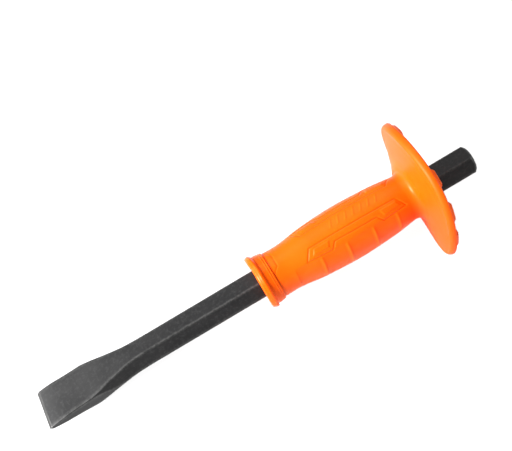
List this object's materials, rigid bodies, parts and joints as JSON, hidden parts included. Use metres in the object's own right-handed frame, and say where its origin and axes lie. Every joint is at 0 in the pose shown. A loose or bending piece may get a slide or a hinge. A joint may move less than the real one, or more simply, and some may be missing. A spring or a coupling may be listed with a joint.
{
  "type": "cold chisel",
  "caption": "Long flat cold chisel of hexagonal steel bar with a push-on soft grip and a round hand guard below its striking head.",
  "frame": {"origin": "centre of the striking face", "axes": "+X along the bar and out of the striking face, so the cutting edge is at -X; +Z normal to the blade's broad faces; Y across the blade, fingers on -Y"},
  "size_m": [0.305, 0.09, 0.09],
  "materials": {
    "forged_steel": "matt black baked coating on forged tool steel, bare bright steel on the ground cutting bevel",
    "grip_rubber": "satin moulded soft orange rubber"
  },
  "bodies": {
    "bar": {"chisel_bar": "forged_steel"},
    "grip": {"grip_guard": "grip_rubber"}
  },
  "joints": [
    {"name": "grip_slide", "type": "slide", "parent": "bar", "child": "grip", "axis": [1, 0, 0], "range_m": [0, 0.16]}
  ]
}
